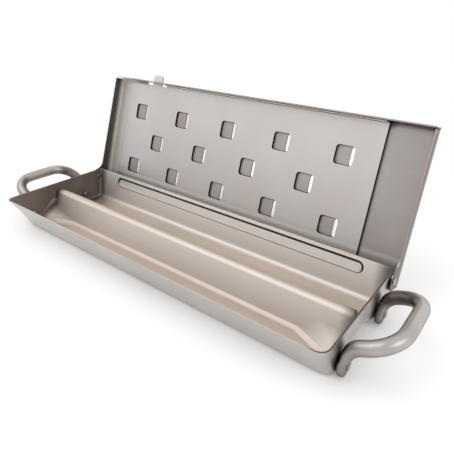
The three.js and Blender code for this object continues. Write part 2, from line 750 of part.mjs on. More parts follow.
// The rings from the tip of the front lug to the middle of the grip.
function halfHandleRings() {
  const y = -lugY;
  const halfWidth = LUG_WIDTH / 2;
  const halfThickness = LUG_THICKNESS / 2;
  const centreDrop = lugBottomDrop - halfWidth;
  const armRise = (HANDLE_GRIP_REACH - lugMiddleX(0)) * Math.tan(HANDLE_ARM_SLOPE);
  const crossing = new THREE.Vector3(lugMiddleX(0), y, HANDLE_GRIP_RISE - armRise);
  const armLength = (HANDLE_GRIP_REACH - crossing.x) / Math.cos(HANDLE_ARM_SLOPE);
  const elbowTurn = QUARTER_TURN - HANDLE_ARM_SLOPE;
  const elbowRun = HANDLE_ELBOW_RADIUS * Math.tan(elbowTurn / 2);
  const outward = new THREE.Vector3(Math.cos(HANDLE_ARM_SLOPE), 0, Math.sin(HANDLE_ARM_SLOPE));
  const rings = [];

  for (let i = 1; i <= TURN_STEPS; i++) {
    const angle = QUARTER_TURN * i / TURN_STEPS;
    const drop = centreDrop + halfWidth * Math.cos(angle);
    const share = LUG_TIP_THICKNESS_SHARE + (1 - LUG_TIP_THICKNESS_SHARE) * Math.sin(angle);
    rings.push(handleRing(
      new THREE.Vector3(lugMiddleX(drop), y, -drop),
      { slope: QUARTER_TURN, turn: 0 },
      halfWidth * Math.sin(angle),
      halfThickness * share,
      LUG_FLATNESS,
    ));
  }
  const elbowDrop = elbowRun - crossing.z;
  const swellLength = centreDrop - elbowDrop + 2 * elbowRun;
  const swell = (done, point, slope) => {
    const share = eased(done / swellLength);
    rings.push(handleRing(
      point,
      { slope, turn: 0 },
      halfWidth + (HANDLE_BAR_RADIUS - halfWidth) * share,
      halfThickness + (HANDLE_BAR_RADIUS - halfThickness) * share,
      LUG_FLATNESS + (2 - LUG_FLATNESS) * share,
    ));
  };
  for (const part of LUG_RING_SHARES) {
    const drop = centreDrop + (elbowDrop - centreDrop) * part;
    swell(centreDrop - drop, new THREE.Vector3(lugMiddleX(drop), y, -drop), QUARTER_TURN);
  }
  const elbowX = crossing.x + HANDLE_ELBOW_RADIUS;
  for (let i = 0; i <= TURN_STEPS; i++) {
    const angle = elbowTurn * i / TURN_STEPS;
    const point = new THREE.Vector3(
      elbowX - HANDLE_ELBOW_RADIUS * Math.cos(angle),
      y,
      HANDLE_ELBOW_RADIUS * Math.sin(angle) - elbowDrop,
    );
    const done = centreDrop - elbowDrop + 2 * elbowRun * i / TURN_STEPS;
    swell(done, point, QUARTER_TURN - angle);
  }
  for (let i = 0; i <= TURN_STEPS; i++) {
    const angle = QUARTER_TURN * i / TURN_STEPS;
    const reach = armLength - HANDLE_CORNER_RADIUS * (1 - Math.sin(angle));
    const point = crossing.clone().addScaledVector(outward, reach);
    point.y += HANDLE_CORNER_RADIUS * (1 - Math.cos(angle));
    rings.push(handleRing(
      point,
      { slope: HANDLE_ARM_SLOPE, turn: angle },
      HANDLE_BAR_RADIUS,
      HANDLE_BAR_RADIUS,
      2,
    ));
  }
  return rings;
}

// The other half mirrors the first.
function handleBody() {
  const half = halfHandleRings();
  const other = half.map((ring) => (
    ring.map((point) => new THREE.Vector3(point.x, -point.y, point.z))
  ));
  return sweep([...half, ...other.reverse()]);
}

function handleGeometry() {
  const far = HANDLE_GRIP_REACH;
  const behind = prism(outline([
    new THREE.Vector2(lugBackX(-far), far),
    new THREE.Vector2(-far, far),
    new THREE.Vector2(-far, -2 * far),
    new THREE.Vector2(lugBackX(2 * far), -2 * far),
  ]), 2 * TRAY_WIDTH);
  behind.rotateX(QUARTER_TURN).translate(0, TRAY_WIDTH, 0);
  const holes = lugYs.map((y) => {
    const radius = HANDLE_RIVET_SHANK_RADIUS + FIT_GAP;
    const hole = new THREE.CylinderGeometry(radius, radius, 2 * far, ROUND_STEPS);
    return hole.rotateZ(QUARTER_TURN).translate(0, y, -handleRivetDrop);
  });
  return cut(handleBody(), behind, ...holes);
}

// Rivets lie along x, with x = 0 on the inner face of the tray's end wall.

const wallXAt = (drop) => HALF_LENGTH - drop * Math.tan(END_WALL_SLOPE);
const wallInnerXAt = (drop) => wallXAt(drop) - TRAY_SHEET / Math.cos(END_WALL_SLOPE);

function dome(radius, height, base, direction) {
  return Array.from({ length: ARC_STEPS / 2 + 1 }, (_, i) => {
    const angle = QUARTER_TURN * i / (ARC_STEPS / 2);
    return new THREE.Vector2(radius * Math.cos(angle), base + direction * height * Math.sin(angle));
  });
}

function hingeRivetGeometry() {
  const innerSeat = wallInnerXAt(HINGE_DROP + RIVET_TAIL_RADIUS) - FIT_GAP;
  const outerSeat = lidOuterX + FIT_GAP;
  const profile = [
    ...dome(RIVET_TAIL_RADIUS, RIVET_TAIL_HEIGHT, innerSeat, -1).reverse(),
    new THREE.Vector2(RIVET_SHANK_RADIUS, innerSeat),
    new THREE.Vector2(RIVET_SHANK_RADIUS, outerSeat),
    ...dome(RIVET_HEAD_RADIUS, RIVET_HEAD_HEIGHT, outerSeat, 1),
  ];
  return turned(profile).rotateZ(-QUARTER_TURN);
}

function handleRivetGeometry() {
  const innerSeat = wallInnerXAt(handleRivetDrop + HANDLE_RIVET_HEAD_RADIUS) - FIT_GAP;
  const lugFace = HALF_LENGTH + lugBackX(handleRivetDrop - HANDLE_RIVET_TAIL_RADIUS) + LUG_THICKNESS;
  const outerSeat = lugFace + FIT_GAP;
  const profile = [
    ...dome(HANDLE_RIVET_HEAD_RADIUS, HANDLE_RIVET_HEAD_HEIGHT, innerSeat, -1).reverse(),
    new THREE.Vector2(HANDLE_RIVET_SHANK_RADIUS, innerSeat),
    new THREE.Vector2(HANDLE_RIVET_SHANK_RADIUS, outerSeat),
    ...dome(HANDLE_RIVET_TAIL_RADIUS, HANDLE_RIVET_TAIL_HEIGHT, outerSeat, 1),
  ];
  return turned(profile).rotateZ(-QUARTER_TURN);
}

// Assembly

function named(name, shape, material) {
  const mesh = new THREE.Mesh(toGeometry(shape), material);
  mesh.name = name;
  return mesh;
}

function faceEnd(mesh, side) {
  if (side < 0) mesh.rotation.z = Math.PI;
  return mesh;
}

const sides = [['left', -1], ['right', 1]];
const rows = [['front', -1], ['rear', 1]];

const smokerBox = new THREE.Group();

// Everything on the tray is measured from its rim.
const base = new THREE.Group();
base.position.z = TRAY_DEPTH;
smokerBox.add(base);
base.add(named('tray', trayGeometry(), trayMaterial()));

for (const [name, side] of sides) {
  const handle = faceEnd(named(`handle_${name}`, handleGeometry(), handleMaterial()), side);
  handle.position.x = side * HALF_LENGTH;
  base.add(handle);
  for (const [row, along] of rows) {
    const rivet = named(`handle_rivet_${name}_${row}`, handleRivetGeometry(), fastenerMaterial());
    faceEnd(rivet, side).position.set(0, along * lugY, -handleRivetDrop);
    base.add(rivet);
  }
  const pivot = faceEnd(named(`hinge_rivet_${name}`, hingeRivetGeometry(), fastenerMaterial()), side);
  pivot.position.set(0, hingeY, -HINGE_DROP);
  base.add(pivot);
}

// The lid turns on the hinge axis and carries the damper.
const lidGroup = new THREE.Group();
lidGroup.position.set(0, hingeY, -HINGE_DROP);
lidGroup.rotation.x = -(QUARTER_TURN + LID_LEAN);
base.add(lidGroup);
lidGroup.add(named('lid', lidGeometry(), lidMaterial()));
lidGroup.add(named('damper', damperGeometry(), damperMaterial()));

// The origin is on the floor under the middle of the whole object, lid open.
const reach = new THREE.Box3().setFromObject(smokerBox, true);
base.position.y = -(reach.min.y + reach.max.y) / 2;

export default smokerBox;
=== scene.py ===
import json
import math

import bmesh
import bpy
from mathutils import Matrix, Vector


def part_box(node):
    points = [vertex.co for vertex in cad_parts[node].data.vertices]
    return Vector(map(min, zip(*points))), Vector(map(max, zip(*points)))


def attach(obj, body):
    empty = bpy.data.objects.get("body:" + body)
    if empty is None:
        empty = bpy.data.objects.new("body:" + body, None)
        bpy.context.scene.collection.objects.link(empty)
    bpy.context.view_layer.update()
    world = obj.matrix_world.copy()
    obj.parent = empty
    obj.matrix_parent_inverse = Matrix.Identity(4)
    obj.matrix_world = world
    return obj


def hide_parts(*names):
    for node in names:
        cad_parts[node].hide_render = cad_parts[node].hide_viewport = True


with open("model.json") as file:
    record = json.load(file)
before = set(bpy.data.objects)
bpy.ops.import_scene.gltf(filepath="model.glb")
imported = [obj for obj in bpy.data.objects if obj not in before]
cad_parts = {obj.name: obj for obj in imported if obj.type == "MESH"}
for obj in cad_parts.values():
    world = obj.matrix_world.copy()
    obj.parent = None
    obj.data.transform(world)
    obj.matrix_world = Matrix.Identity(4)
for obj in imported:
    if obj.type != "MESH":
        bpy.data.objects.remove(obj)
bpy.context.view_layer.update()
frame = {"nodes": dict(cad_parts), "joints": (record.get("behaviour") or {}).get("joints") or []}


# The white studio that the box stands in: a pale floor that runs out of sight, plain soft
# lamps and the camera at the photograph's place. None of it belongs to the object.
WHITE = (1.0, 1.0, 1.0, 1.0)
FLOOR_COLOUR = (0.93, 0.93, 0.93, 1.0)
FLOOR_SIZE = 12.0
FLOOR_LIFT = 0.16
FLOOR_LIT_REACH = 0.28
FLOOR_WHITE_REACH = 0.50
ROOM_LIGHT = 0.85
CAMERA_FROM_CORNER = (0.0796, -0.2229, 0.2060)
CAMERA_YAW = math.radians(38.68)
CAMERA_PITCH = math.radians(-23.03)
CAMERA_ROLL = 0.0112
CAMERA_LENS = 36.276
CAMERA_SENSOR = 36.0
CAMERA_SHIFT = (0.04993, -0.07407)
CAMERA_NEAR = 0.01
LAMPS = (
    ("key_lamp", (-0.70, -0.75, 1.50), 1.6, 6.5),
    ("side_lamp", (1.30, -0.35, 0.90), 1.0, 3.0),
)


def put(tree, kind, **settings):
    """A new node in a tree, with its properties set by name."""
    node = tree.nodes.new(kind)
    for name, value in settings.items():
        setattr(node, name, value)
    return node


def feed(tree, socket, source):
    """Links a socket to another one, or sets it to a plain value."""
    if isinstance(source, bpy.types.NodeSocket):
        tree.links.new(source, socket)
    else:
        socket.default_value = source


def maths(tree, operation, *sources, clamp=False):
    """A Math node fed by sockets or plain numbers, and its output."""
    node = put(tree, "ShaderNodeMath", operation=operation, use_clamp=clamp)
    for socket, source in zip(node.inputs, sources):
        feed(tree, socket, source)
    return node.outputs[0]


def vector_maths(tree, operation, *sources):
    """A Vector Math node's outputs: its Vector, and the Value of a length or a product."""
    node = put(tree, "ShaderNodeVectorMath", operation=operation)
    for socket, source in zip(node.inputs, sources):
        feed(tree, socket, source)
    return node.outputs


def times(tree, first, *others):
    """The product of some shares."""
    for other in others:
        first = maths(tree, "MULTIPLY", first, other)
    return first


def soft_step(tree, value, low, high):
    """Zero below low, one above high, with a smooth rise between."""
    step = put(tree, "ShaderNodeMapRange", interpolation_type="SMOOTHSTEP")
    tree.links.new(value, step.inputs["Value"])
    step.inputs["From Min"].default_value = low
    step.inputs["From Max"].default_value = high
    return step.outputs["Result"]


def seen_share(tree):
    """One for camera, glossy and transmission rays, and nothing for the rays that light things."""
    path = put(tree, "ShaderNodeLightPath").outputs
    share = maths(tree, "MAXIMUM", path["Is Camera Ray"], path["Is Glossy Ray"])
    return maths(tree, "MAXIMUM", share, path["Is Transmission Ray"])


def white_light(tree, kind, strength=1.0):
    """A Background or Emission node that shines white, and its output."""
    node = put(tree, kind)
    node.inputs["Color"].default_value = WHITE
    feed(tree, node.inputs["Strength"], strength)
    return node.outputs[0]


def shaders_joined(tree, kind, *sources):
    """A Mix Shader or Add Shader node fed in the order of its sockets, and its output."""
    node = put(tree, kind)
    for socket, source in zip(node.inputs, sources):
        tree.links.new(source, socket)
    return node.outputs[0]


def new_object(name, data):
    """An object that holds some data, linked to the scene."""
    made = bpy.data.objects.new(name, data)
    bpy.context.collection.objects.link(made)
    return made


world = bpy.data.worlds.new("studio_air")
bpy.context.scene.world = world
world.use_nodes = True
air = world.node_tree
air.nodes.clear()
room = white_light(air, "ShaderNodeBackground", ROOM_LIGHT)
backdrop = white_light(air, "ShaderNodeBackground")
air_light = shaders_joined(air, "ShaderNodeMixShader", seen_share(air), room, backdrop)
air.links.new(air_light, put(air, "ShaderNodeOutputWorld").inputs["Surface"])

bpy.ops.mesh.primitive_plane_add(size=FLOOR_SIZE)
floor = bpy.context.object
floor.name = "studio_floor"
floor_paint = bpy.data.materials.new("floor_paint")
floor_paint.use_nodes = True
paint = floor_paint.node_tree
paint.nodes.clear()
matt = put(paint, "ShaderNodeBsdfDiffuse")
matt.inputs["Color"].default_value = FLOOR_COLOUR
seen = seen_share(paint)
lift = white_light(paint, "ShaderNodeEmission", times(paint, seen, FLOOR_LIFT))
lit = shaders_joined(paint, "ShaderNodeAddShader", matt.outputs[0], lift)
floor_place = put(paint, "ShaderNodeTexCoord").outputs["Object"]
distance = vector_maths(paint, "LENGTH", floor_place)["Value"]
far = soft_step(paint, distance, FLOOR_LIT_REACH, FLOOR_WHITE_REACH)
far_white = white_light(paint, "ShaderNodeEmission")
floor_light = shaders_joined(paint, "ShaderNodeMixShader", times(paint, seen, far), lit, far_white)
paint.links.new(floor_light, put(paint, "ShaderNodeOutputMaterial").inputs["Surface"])
floor.data.materials.append(floor_paint)

for name, place, size, power in LAMPS:
    lamp = bpy.data.lights.new(name, "AREA")
    lamp.shape = "DISK"
    lamp.size = size
    lamp.energy = power
    holder = new_object(name, lamp)
    holder.location = place
    holder.rotation_euler = (-Vector(place)).to_track_quat("-Z", "Y").to_euler()

tray_low, tray_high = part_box("tray")
photo_corner = Vector((tray_high.x, tray_low.y, tray_high.z))
lens = bpy.data.cameras.new("camera")
lens.lens = CAMERA_LENS
lens.sensor_width = CAMERA_SENSOR
lens.shift_x, lens.shift_y = CAMERA_SHIFT
lens.clip_start = CAMERA_NEAR
camera = new_object("camera", lens)
camera.matrix_world = (
    Matrix.Translation(photo_corner + Vector(CAMERA_FROM_CORNER))
    @ Matrix.Rotation(CAMERA_YAW, 4, "Z")
    @ Matrix.Rotation(math.pi / 2.0 + CAMERA_PITCH, 4, "X")
    @ Matrix.Rotation(CAMERA_ROLL, 4, "Z")
)
bpy.context.scene.camera = camera
bpy.context.scene.view_settings.view_transform = "Standard"


# The pressed tray: stainless sheet drawn into two channels with a ridge between them, its rim
# left as a bare cut edge. Its colour carries painted light: the inner faces are painted lighter,
# the back wall's inner face lighter still, the up-facing inner faces take a painted warm
# reflection, and painted brown shade lies at the ends, in sheltered places, under the tray and,
# more thinly, towards the channels' bottoms.
SAME_PLACE = 1e-6
FLAT_WITHIN = math.radians(0.4)
SMOOTH_UP_TO = math.radians(32.0)
QUAD_FLAT_WITHIN = math.radians(40.0)
QUAD_SQUARE_WITHIN = math.radians(60.0)
NORMAL_WEIGHT = 60
TRAY_STEEL = (0.61, 0.565, 0.53)
TRAY_STEEL_COOL = (0.55, 0.53, 0.51)
TRAY_INSIDE_LIGHT = (0.82, 0.76, 0.71)
TRAY_WARM_REFLECTION = (0.62, 0.52, 0.45)
TRAY_SHADE_BROWN = (0.085, 0.052, 0.041)
TRAY_BACK_WALL_LIGHT = (0.97, 0.95, 0.92)
TRAY_GRAIN_DARK = (0.20, 0.19, 0.18)
CREASE_SHADE = (0.035, 0.028, 0.024)
BARE_EDGE = (0.74, 0.71, 0.68)
SHEET_ROUNDING = 0.00035
SHEET_RELIEF = 0.00003
TRAY_GRAIN_LINES = (9.0, 420.0, 420.0)
TRAY_CLOUDS_PER_METRE = 13.0
SPECKS_PER_CLOUD = 22.0
TRAY_SHELTER_REACH = 0.030
CREASE_REACH = 0.0035
CREASE_RAGGEDNESS = 0.1
# A pair named for a facing, an axis or a level holds the two ends of a soft step.
INSIDE_FACING = (-0.01, 0.04)
WARM_REFLECTION_FACING = (0.50, 0.92)
BACK_WALL_LIGHT_FACING = (0.5, 0.9)
BACK_WALL_LIGHT_Y = (0.0, 0.02)
END_WALL_FACING = (0.45, 0.85)
END_SHADE_X = (0.172, 0.1865)
LOW_DARKER_Z = (0.004, 0.030)
UNDER_FACING = (0.80, 0.97)
BACK_WALL_Y = (0.028, 0.031)
INSIDE_SHARE = 0.9
WARM_REFLECTION_SHARE = 0.85
END_SHADE_SHARE = 0.86
LOW_DARKER_SHARE = 0.15
SHELTER_SHADE_SHARE = 0.15
BROWN_SHADE_THIN = 0.8
CREASE_SHARE = 0.75
UNDER_SHARE = 0.6
TRAY_GRAIN_SHARE = 0.16
TRAY_EDGE_SHARE = 0.6
TRAY_ROUGHNESS = (0.27, 0.43)
INSIDE_DULL = 0.16
BROWN_SHADE_DULL = 0.24
MIX_UNDER = 6
MIX_OVER = 7
MIX_RESULT = 2
BEAD_MIDDLE_X = 0.005
BEAD_MIDDLE_Z = 0.0281
BEAD_HALF_LENGTH = 0.1595
BEAD_HALF_HEIGHT = 0.0055
SHADOW_OUTER = 0.0059
SHADOW_INNER = 0.0041
SHADOW_DROP = 0.0012
SHADOW_BLUR = 0.0004


def rest_of(tree, share):
    """What a share leaves of one."""
    return maths(tree, "SUBTRACT", 1.0, share)


def new_group(name, inputs, outputs):
    """An empty shader group with named inputs and outputs."""
    tree = bpy.data.node_groups.new(name, "ShaderNodeTree")
    for label, kind, value in inputs:
        socket = tree.interface.new_socket(label, in_out="INPUT", socket_type="NodeSocket" + kind)
        if value is not None:
            socket.default_value = value
    for label, kind in outputs:
        tree.interface.new_socket(label, in_out="OUTPUT", socket_type="NodeSocket" + kind)
    return tree, put(tree, "NodeGroupInput").outputs, put(tree, "NodeGroupOutput").inputs


def use_group(tree, group, **values):
    """A group node with its inputs fed by sockets or plain values, and its outputs."""
    node = put(tree, "ShaderNodeGroup", node_tree=group)
    for label, value in values.items():
        feed(tree, node.inputs[label.replace("_", " ").capitalize()], value)
    return node.outputs


def noise(tree, vector, **settings):
    """A Noise Texture node with its inputs fed by name, and its output."""
    node = put(tree, "ShaderNodeTexNoise")
    tree.links.new(vector, node.inputs["Vector"])
    for label, value in settings.items():
        feed(tree, node.inputs[label.capitalize()], value)
    return node.outputs["Fac"]


def rolled_grain_group():
    """Fine lines that rolling and brushing leave along the sheet, and the relief they make."""
    tree, given, out = new_group(
        "rolled_grain",
        (("Place", "Vector", None), ("Lines", "Vector", None)),
        (("Grain", "Float"), ("Height", "Float")),
    )
    stretched = vector_maths(tree, "MULTIPLY", given["Place"], given["Lines"])["Vector"]
    fine = noise(tree, stretched, scale=1.0, detail=6.0, roughness=0.65)
    broad = noise(tree, stretched, scale=0.12, detail=3.0, roughness=0.55, distortion=0.3)
    tree.links.new(fine, out["Grain"])
    tree.links.new(maths(tree, "MULTIPLY_ADD", broad, 0.5, fine), out["Height"])
    return tree


def cloudy_patches_group():
    """Soft clouds, as handling and cleaning leave them on satin steel, and small specks."""
    tree, given, out = new_group(
        "cloudy_patches",
        (
            ("Place", "Vector", None), ("Clouds per metre", "Float", 14.0),
            ("Offset", "Vector", None),
        ),
        (("Clouds", "Float"), ("Specks", "Float")),
    )
    moved = vector_maths(tree, "ADD", given["Place"], given["Offset"])["Vector"]
    many = given["Clouds per metre"]
    clouds = noise(tree, moved, scale=many, detail=3.0, roughness=0.5, distortion=0.4)
    tree.links.new(soft_step(tree, clouds, low=0.32, high=0.68), out["Clouds"])
    closer = times(tree, many, SPECKS_PER_CLOUD)
    specks = noise(tree, moved, scale=closer, detail=2.0, roughness=0.5)
    tree.links.new(soft_step(tree, specks, low=0.60, high=0.74), out["Specks"])
    return tree


def bare_edge_group():
    """Where a cut or bent edge is rubbed bright, and the normal of its small rounding."""
    tree, given, out = new_group(
        "bare_edge",
        (("Rounding", "Float", 0.0004),),
        (("Edge", "Float"), ("Normal", "Vector")),
    )
    rounded = put(tree, "ShaderNodeBevel", samples=6)
    tree.links.new(given["Rounding"], rounded.inputs["Radius"])
    surface = put(tree, "ShaderNodeNewGeometry").outputs["Normal"]
    alike = vector_maths(tree, "DOT_PRODUCT", rounded.outputs[0], surface)["Value"]
    tree.links.new(soft_step(tree, rest_of(tree, alike), low=0.04, high=0.20), out["Edge"])
    tree.links.new(rounded.outputs[0], out["Normal"])
    return tree


def sheltered_shade_group():
    """Painted shade with a ragged border, where the surface is sheltered all round or on one side.
    """
    tree, given, out = new_group(
        "sheltered_shade",
        (
            ("Place", "Vector", None), ("Reach", "Float", 0.02),
            ("Raggedness", "Float", 0.35), ("Towards", "Vector", None),
        ),
        (("Shade", "Float"),),
    )
    surface = put(tree, "ShaderNodeNewGeometry").outputs["Normal"]
    leaning = vector_maths(tree, "ADD", surface, given["Towards"])["Vector"]
    shelter = put(tree, "ShaderNodeAmbientOcclusion", samples=8)
    tree.links.new(vector_maths(tree, "NORMALIZE", leaning)["Vector"], shelter.inputs["Normal"])
    tree.links.new(given["Reach"], shelter.inputs["Distance"])
    closed = rest_of(tree, shelter.outputs["AO"])
    rag = noise(tree, given["Place"], scale=60.0, detail=5.0, roughness=0.6)
    centred = maths(tree, "SUBTRACT", rag, 0.5)
    ragged = maths(tree, "MULTIPLY_ADD", centred, given["Raggedness"], closed)
    tree.links.new(soft_step(tree, ragged, low=0.25, high=0.85), out["Shade"])
    return tree


rolled_grain = rolled_grain_group()
cloudy_patches = cloudy_patches_group()
bare_edge = bare_edge_group()
sheltered_shade = sheltered_shade_group()


def painted(tree, under, over, *shares):
    """One colour laid over another by the product of some shares."""
    mix = put(tree, "ShaderNodeMix", data_type="RGBA")
    feed(tree, mix.inputs["Factor"], times(tree, *shares))
    for socket, colour in ((MIX_UNDER, under), (MIX_OVER, over)):
        feed(tree, mix.inputs[socket], (*colour, 1.0) if isinstance(colour, tuple) else colour)
    return mix.outputs[MIX_RESULT]


def between(tree, share, low, high):
    """A number that runs from low to high as the share runs from nothing to one."""
    spread = put(tree, "ShaderNodeMapRange")
    tree.links.new(share, spread.inputs["Value"])
    spread.inputs["To Min"].default_value = low
    spread.inputs["To Max"].default_value = high
    return spread.outputs["Result"]


def axes(tree, vector):
    """A vector's X, Y and Z."""
    split = put(tree, "ShaderNodeSeparateXYZ")
    tree.links.new(vector, split.inputs[0])
    return split.outputs


def new_finish(name):
    """A metal finish and its tree, with the place and the facing that its patterns read."""
    finish = bpy.data.materials.new(name)
    finish.use_nodes = True
    tree = finish.node_tree
    tree.nodes["Principled BSDF"].inputs["Metallic"].default_value = 1.0
    seen_from = put(tree, "ShaderNodeTexCoord").outputs
    return finish, tree, seen_from["Object"], seen_from["Normal"]


def dress_shader(tree, colour, roughness, height, depth, normal):
    """Gives a finish its colour, its roughness and a relief of so many metres over a normal."""
    bump = put(tree, "ShaderNodeBump")
    bump.inputs["Strength"].default_value = 1.0
    bump.inputs["Distance"].default_value = depth
    tree.links.new(height, bump.inputs["Height"])
    tree.links.new(normal, bump.inputs["Normal"])
    shader = tree.nodes["Principled BSDF"].inputs
    tree.links.new(colour, shader["Base Color"])
    tree.links.new(roughness, shader["Roughness"])
    tree.links.new(bump.outputs[0], shader["Normal"])


def outside_bead(tree, where, half_height, drop):
    """How far a place lies outside a long round-ended form on the back wall, in metres."""
    along = maths(tree, "ABSOLUTE", maths(tree, "SUBTRACT", where["X"], BEAD_MIDDLE_X))
    straight = BEAD_HALF_LENGTH - BEAD_HALF_HEIGHT
    past_end = maths(tree, "MAXIMUM", maths(tree, "SUBTRACT", along, straight), 0.0)
    up = maths(tree, "SUBTRACT", where["Z"], BEAD_MIDDLE_Z - drop)
    squares = [maths(tree, "POWER", side, 2.0) for side in (past_end, up)]
    apart = maths(tree, "SQRT", maths(tree, "ADD", *squares))
    return maths(tree, "SUBTRACT", apart, half_height)


def bead_shadow(tree, where):
    """Painted shadow in the outline of the pressed bead, broad under its upper edge and thin below.
    """
    outer = outside_bead(tree, where, SHADOW_OUTER, 0.0)
    inner = outside_bead(tree, where, SHADOW_INNER, SHADOW_DROP)
    within = rest_of(tree, soft_step(tree, outer, -SHADOW_BLUR, SHADOW_BLUR))
    return times(tree, within, soft_step(tree, inner, -SHADOW_BLUR, SHADOW_BLUR))


def tray_finish():
    finish, tree, place, normal = new_finish("tray_steel")
    grain = use_group(tree, rolled_grain, place=place, lines=TRAY_GRAIN_LINES)
    clouds = use_group(
        tree, cloudy_patches, place=place, clouds_per_metre=TRAY_CLOUDS_PER_METRE
    )["Clouds"]
    edge = use_group(tree, bare_edge, rounding=SHEET_ROUNDING)
    shelter_shade = use_group(tree, sheltered_shade, place=place, reach=TRAY_SHELTER_REACH)["Shade"]
    crease_shade = use_group(
        tree, sheltered_shade, place=place, reach=CREASE_REACH, raggedness=CREASE_RAGGEDNESS
    )["Shade"]
    where = axes(tree, place)
    facing = axes(tree, normal)

    inside = soft_step(tree, facing["Z"], *INSIDE_FACING)
    colour = painted(tree, TRAY_STEEL, TRAY_STEEL_COOL, clouds)
    # Painted light: the inner faces are painted lighter than the outer ones.
    colour = painted(tree, colour, TRAY_INSIDE_LIGHT, inside, INSIDE_SHARE)
    # Painted light: the back wall's inner face, turned to the front, is painted lighter still.
    forward = maths(tree, "MULTIPLY", facing["Y"], -1.0)
    back_wall_light = soft_step(tree, forward, *BACK_WALL_LIGHT_FACING)
    behind = soft_step(tree, where["Y"], *BACK_WALL_LIGHT_Y)
    colour = painted(tree, colour, TRAY_BACK_WALL_LIGHT, back_wall_light, inside, behind)
    # Painted reflection: the up-facing inner faces, the ridge most, take a warm tint.
    upward = soft_step(tree, facing["Z"], *WARM_REFLECTION_FACING)
    colour = painted(tree, colour, TRAY_WARM_REFLECTION, inside, upward, WARM_REFLECTION_SHARE)

    # Painted shade in brown: strong on the end walls' inner faces, thin in sheltered places, with a
    # thin darkening towards the channels' bottoms, broken up by the clouds.
    end = soft_step(tree, maths(tree, "ABSOLUTE", where["X"]), *END_SHADE_X)
    end_wall = soft_step(tree, maths(tree, "ABSOLUTE", facing["X"]), *END_WALL_FACING)
    end = maths(tree, "MAXIMUM", end, end_wall)
    low = rest_of(tree, soft_step(tree, where["Z"], *LOW_DARKER_Z))
    brown_shade = times(tree, end, END_SHADE_SHARE)
    brown_shade = maths(tree, "MAXIMUM", brown_shade, times(tree, low, LOW_DARKER_SHARE))
    brown_shade = maths(tree, "MAXIMUM", brown_shade, times(tree, shelter_shade, SHELTER_SHADE_SHARE))
    brown_shade = times(tree, brown_shade, inside, between(tree, clouds, BROWN_SHADE_THIN, 1.0))
    colour = painted(tree, colour, TRAY_SHADE_BROWN, brown_shade)
    # Painted shade, near black, in the tight creases.
    colour = painted(tree, colour, CREASE_SHADE, crease_shade, CREASE_SHARE)
    # Painted shade: the faces turned downwards take the brown.
    downward = soft_step(tree, maths(tree, "MULTIPLY", facing["Z"], -1.0), *UNDER_FACING)
    colour = painted(tree, colour, TRAY_SHADE_BROWN, downward, UNDER_SHARE)

    lines = between(tree, grain["Grain"], 0.0, TRAY_GRAIN_SHARE)
    colour = painted(tree, colour, TRAY_GRAIN_DARK, lines)
    colour = painted(tree, colour, BARE_EDGE, edge["Edge"], TRAY_EDGE_SHARE)
    # Painted shadow in the outline of the back wall's pressed bead.
    back_wall = soft_step(tree, where["Y"], *BACK_WALL_Y)
    colour = painted(tree, colour, CREASE_SHADE, bead_shadow(tree, where), back_wall, inside)
    dull = maths(
        tree, "MAXIMUM", times(tree, inside, INSIDE_DULL), times(tree, brown_shade, BROWN_SHADE_DULL)
    )
    rough = maths(tree, "ADD", between(tree, grain["Grain"], *TRAY_ROUGHNESS), dull)
    dress_shader(tree, colour, rough, grain["Height"], SHEET_RELIEF, edge["Normal"])
    return finish


def settled(piece):
    """Gives a piece the mesh that its modifiers make, and takes them off."""
    bpy.context.view_layer.update()
    made = piece.evaluated_get(bpy.context.evaluated_depsgraph_get())
    piece.data = bpy.data.meshes.new_from_object(made)
    piece.modifiers.clear()
    return piece


def dressed(node, name, levels=0):
    """A merged copy of a CAD node with its bends shaded smooth and, if asked, its form refined."""
    mesh = bpy.data.meshes.new(name)
    form = bmesh.new()
    form.from_mesh(frame["nodes"][node].data)
    bmesh.ops.remove_doubles(form, verts=form.verts, dist=SAME_PLACE)
    bmesh.ops.dissolve_limit(
        form, angle_limit=FLAT_WITHIN, verts=form.verts, edges=form.edges
    )
    if levels:
        bmesh.ops.join_triangles(
            form,
            faces=form.faces,
            angle_face_threshold=QUAD_FLAT_WITHIN,
            angle_shape_threshold=QUAD_SQUARE_WITHIN,
        )
    form.to_mesh(mesh)
    form.free()
    mesh.shade_smooth()
    mesh.set_sharp_from_angle(angle=SMOOTH_UP_TO)
    piece = new_object(name, mesh)
    if levels:
        finer = piece.modifiers.new("finer_form", "SUBSURF")
        finer.levels = finer.render_levels = levels
    weighted = piece.modifiers.new("flat_sheet_stays_flat", "WEIGHTED_NORMAL")
    weighted.mode = "FACE_AREA"
    weighted.keep_sharp = True
    weighted.weight = NORMAL_WEIGHT
    return settled(piece)


def fit(piece, nodes, body, finish):
    """Gives a piece its finish, fixes it to its body and lets it stand for its CAD nodes."""
    piece.data.materials.clear()
    piece.data.materials.append(finish)
    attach(piece, body)
    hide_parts(*nodes)


fit(dressed("tray", "tray_sheet"), ["tray"], "tray", tray_finish())


